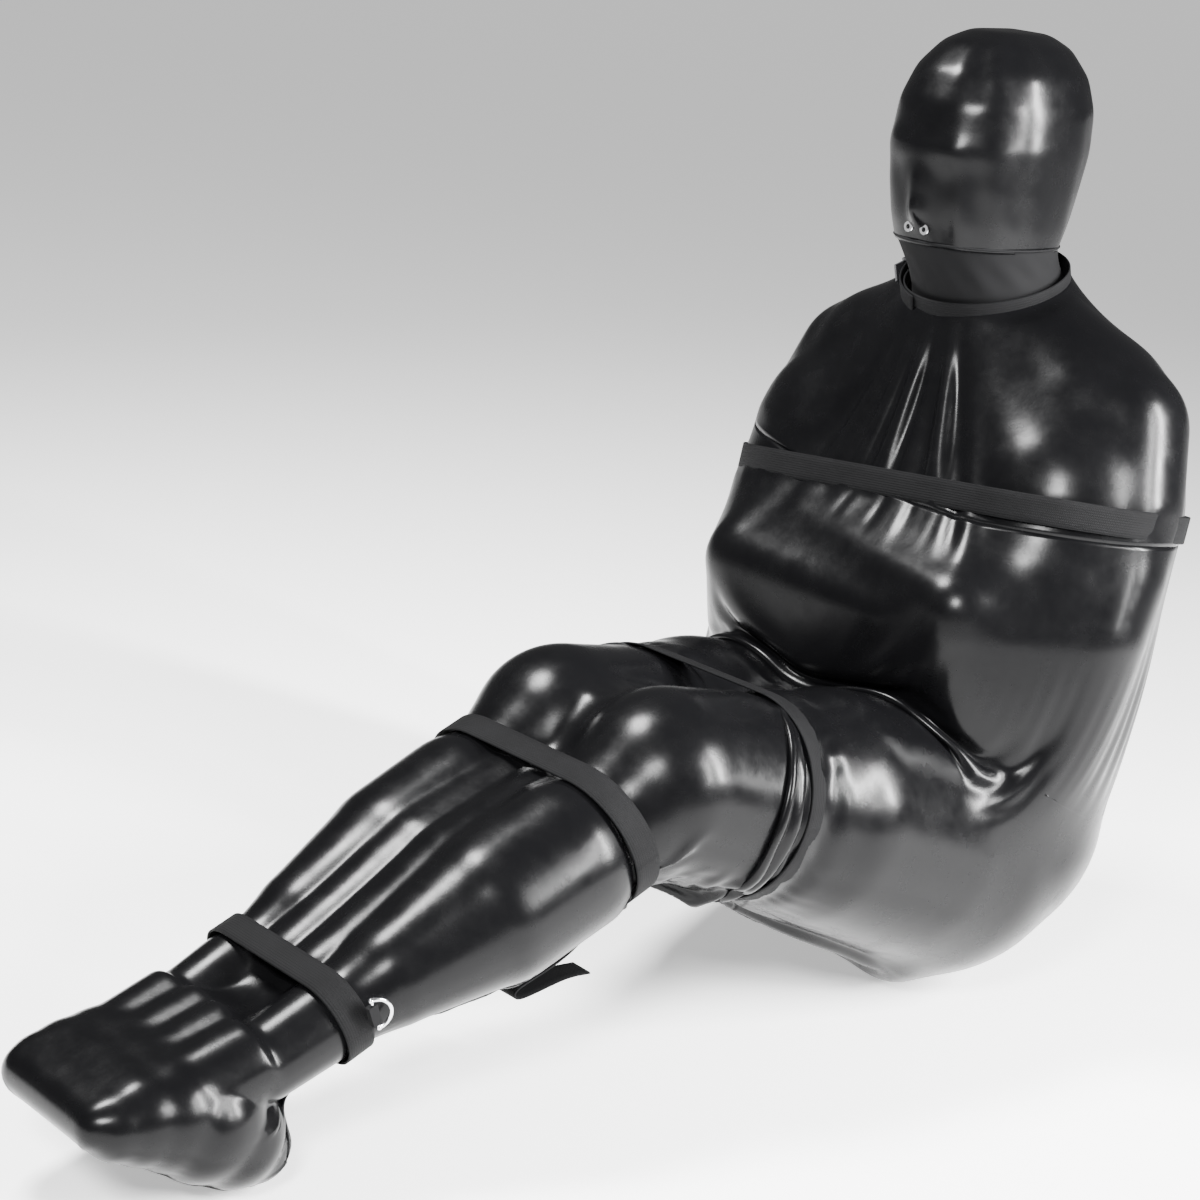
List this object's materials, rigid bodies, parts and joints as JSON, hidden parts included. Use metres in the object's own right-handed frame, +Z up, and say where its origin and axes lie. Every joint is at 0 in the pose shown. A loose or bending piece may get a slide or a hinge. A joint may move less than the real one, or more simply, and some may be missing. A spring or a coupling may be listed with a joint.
{
  "type": "grappling dummy",
  "caption": "Seated human-shaped stuffed training dummy in a glossy hooded cover with folded arms, legs together in a foot bag, and buckled webbing cinch straps.",
  "frame": {"origin": "centre of the flat of the seat, on the floor, straight under the hip axis", "axes": "+Z up, the dummy faces -Y with its feet at -Y and its back at +Y, +X is the dummy's left side"},
  "size_m": [0.5002, 1.1033, 0.882],
  "materials": {
    "cover_vinyl": "wet-look gloss on coated cloth",
    "chin_cloth": "matte knit",
    "webbing": "matte woven webbing",
    "zip_tape": "matte woven tape",
    "zip_metal": "black enamel",
    "buckle_plastic": "fine moulded grain",
    "bright_steel": "bright nickel",
    "frame_steel": "plain bar and tube",
    "stuffing": "shredded textile in lining bags"
  },
  "bodies": {
    "torso": {"torso_fill": "stuffing", "hip_fill": "stuffing", "arm_fill_left": "stuffing", "arm_fill_right": "stuffing", "torso_cover": "cover_vinyl", "seat_cover": "cover_vinyl", "spine_tube": "frame_steel", "pelvis_frame": "frame_steel", "shoulder_bar": "frame_steel", "hip_pins": "frame_steel", "hip_washers": "frame_steel", "chest_strap": "webbing", "chest_buckle": "buckle_plastic", "collar_strap": "webbing", "collar_buckle": "buckle_plastic", "back_zip": "zip_tape"},
    "chest_lever": {"chest_buckle_lever": "buckle_plastic"},
    "collar_lever": {"collar_buckle_lever": "buckle_plastic"},
    "zip_slider": {"zip_slider": "zip_metal"},
    "zip_pull": {"zip_pull": "zip_metal"},
    "neck": {"neck_post": "frame_steel", "nod_pin": "frame_steel"},
    "head": {"head_fill": "stuffing", "head_lug": "frame_steel", "hood_cover": "cover_vinyl", "hood_chin_panel": "chin_cloth", "nose_eyelets": "bright_steel"},
    "thighs": {"thigh_fill_left": "stuffing", "thigh_fill_right": "stuffing", "thigh_cover": "cover_vinyl", "thigh_link_left": "frame_steel", "thigh_link_right": "frame_steel", "knee_pins": "frame_steel", "knee_washers": "frame_steel", "thigh_strap": "webbing", "thigh_buckle": "buckle_plastic"},
    "thigh_lever": {"thigh_buckle_lever": "buckle_plastic"},
    "shins": {"shin_fill_left": "stuffing", "shin_fill_right": "stuffing", "shin_cover": "cover_vinyl", "shin_link_left": "frame_steel", "shin_link_right": "frame_steel", "ankle_pins": "frame_steel", "ankle_washers": "frame_steel", "knee_strap": "webbing", "knee_buckle": "buckle_plastic", "knee_strap_tail": "webbing", "ankle_strap": "webbing", "ankle_buckle": "buckle_plastic", "ring_keeper": "webbing"},
    "knee_lever": {"knee_buckle_lever": "buckle_plastic"},
    "ankle_lever": {"ankle_buckle_lever": "buckle_plastic"},
    "ankle_ring": {"ankle_ring": "bright_steel"},
    "feet": {"foot_fill_left": "stuffing", "foot_fill_right": "stuffing", "foot_cover": "cover_vinyl", "foot_plate_left": "frame_steel", "foot_plate_right": "frame_steel"}
  },
  "joints": [
    {"name": "neck_turn", "type": "hinge", "parent": "torso", "child": "neck", "pos_m": [0, 0.052, 0.648], "axis": [0, -0.309, 0.9511], "range_deg": [-30, 30]},
    {"name": "head_nod", "type": "hinge", "parent": "neck", "child": "head", "pos_m": [0, 0.052, 0.648], "axis": [1, 0, 0], "range_deg": [-6, 5]},
    {"name": "hip_bend", "type": "hinge", "parent": "torso", "child": "thighs", "pos_m": [0, 0, 0.158], "axis": [1, 0, 0], "range_deg": [-10, 70]},
    {"name": "knee_bend", "type": "hinge", "parent": "thighs", "child": "shins", "pos_m": [0, -0.37478, 0.25842], "axis": [1, 0, 0], "range_deg": [-37, 20]},
    {"name": "ankle_flex", "type": "hinge", "parent": "shins", "child": "feet", "pos_m": [0, -0.76141, 0.10221], "axis": [1, 0, 0], "range_deg": [-20, 25]},
    {"name": "zip_slide", "type": "slide", "parent": "torso", "child": "zip_slider", "axis": [0, -0.1736, -0.9848], "range_m": [0, 0.074]},
    {"name": "zip_pull_swing", "type": "hinge", "parent": "zip_slider", "child": "zip_pull", "pos_m": [0, 0.15994, 0.40396], "axis": [1, 0, 0], "range_deg": [-8, 110]},
    {"name": "chest_lever_open", "type": "hinge", "parent": "torso", "child": "chest_lever", "pos_m": [0.062, 0.16976, 0.43836], "axis": [0, -0.1736, -0.9848], "range_deg": [0, 100]},
    {"name": "collar_lever_open", "type": "hinge", "parent": "torso", "child": "collar_lever", "pos_m": [-0.0857, 0.052, 0.648], "axis": [0, 0.309, -0.9511], "range_deg": [0, 100]},
    {"name": "thigh_lever_open", "type": "hinge", "parent": "thighs", "child": "thigh_lever", "pos_m": [-0.02, -0.31251, 0.13534], "axis": [0, 0.9659, -0.2588], "range_deg": [0, 100]},
    {"name": "knee_lever_open", "type": "hinge", "parent": "shins", "child": "knee_lever", "pos_m": [0.002, -0.42224, 0.16234], "axis": [0, 0.9272, 0.3746], "range_deg": [0, 100]},
    {"name": "ankle_lever_open", "type": "hinge", "parent": "shins", "child": "ankle_lever", "pos_m": [-0.012, -0.68133, 0.08285], "axis": [0, 0.9272, 0.3746], "range_deg": [0, 100]},
    {"name": "ankle_ring_swing", "type": "hinge", "parent": "shins", "child": "ankle_ring", "pos_m": [0.09808, -0.69127, 0.14349], "axis": [0, 0.3746, -0.9272], "range_deg": [0, 90]}
  ]
}
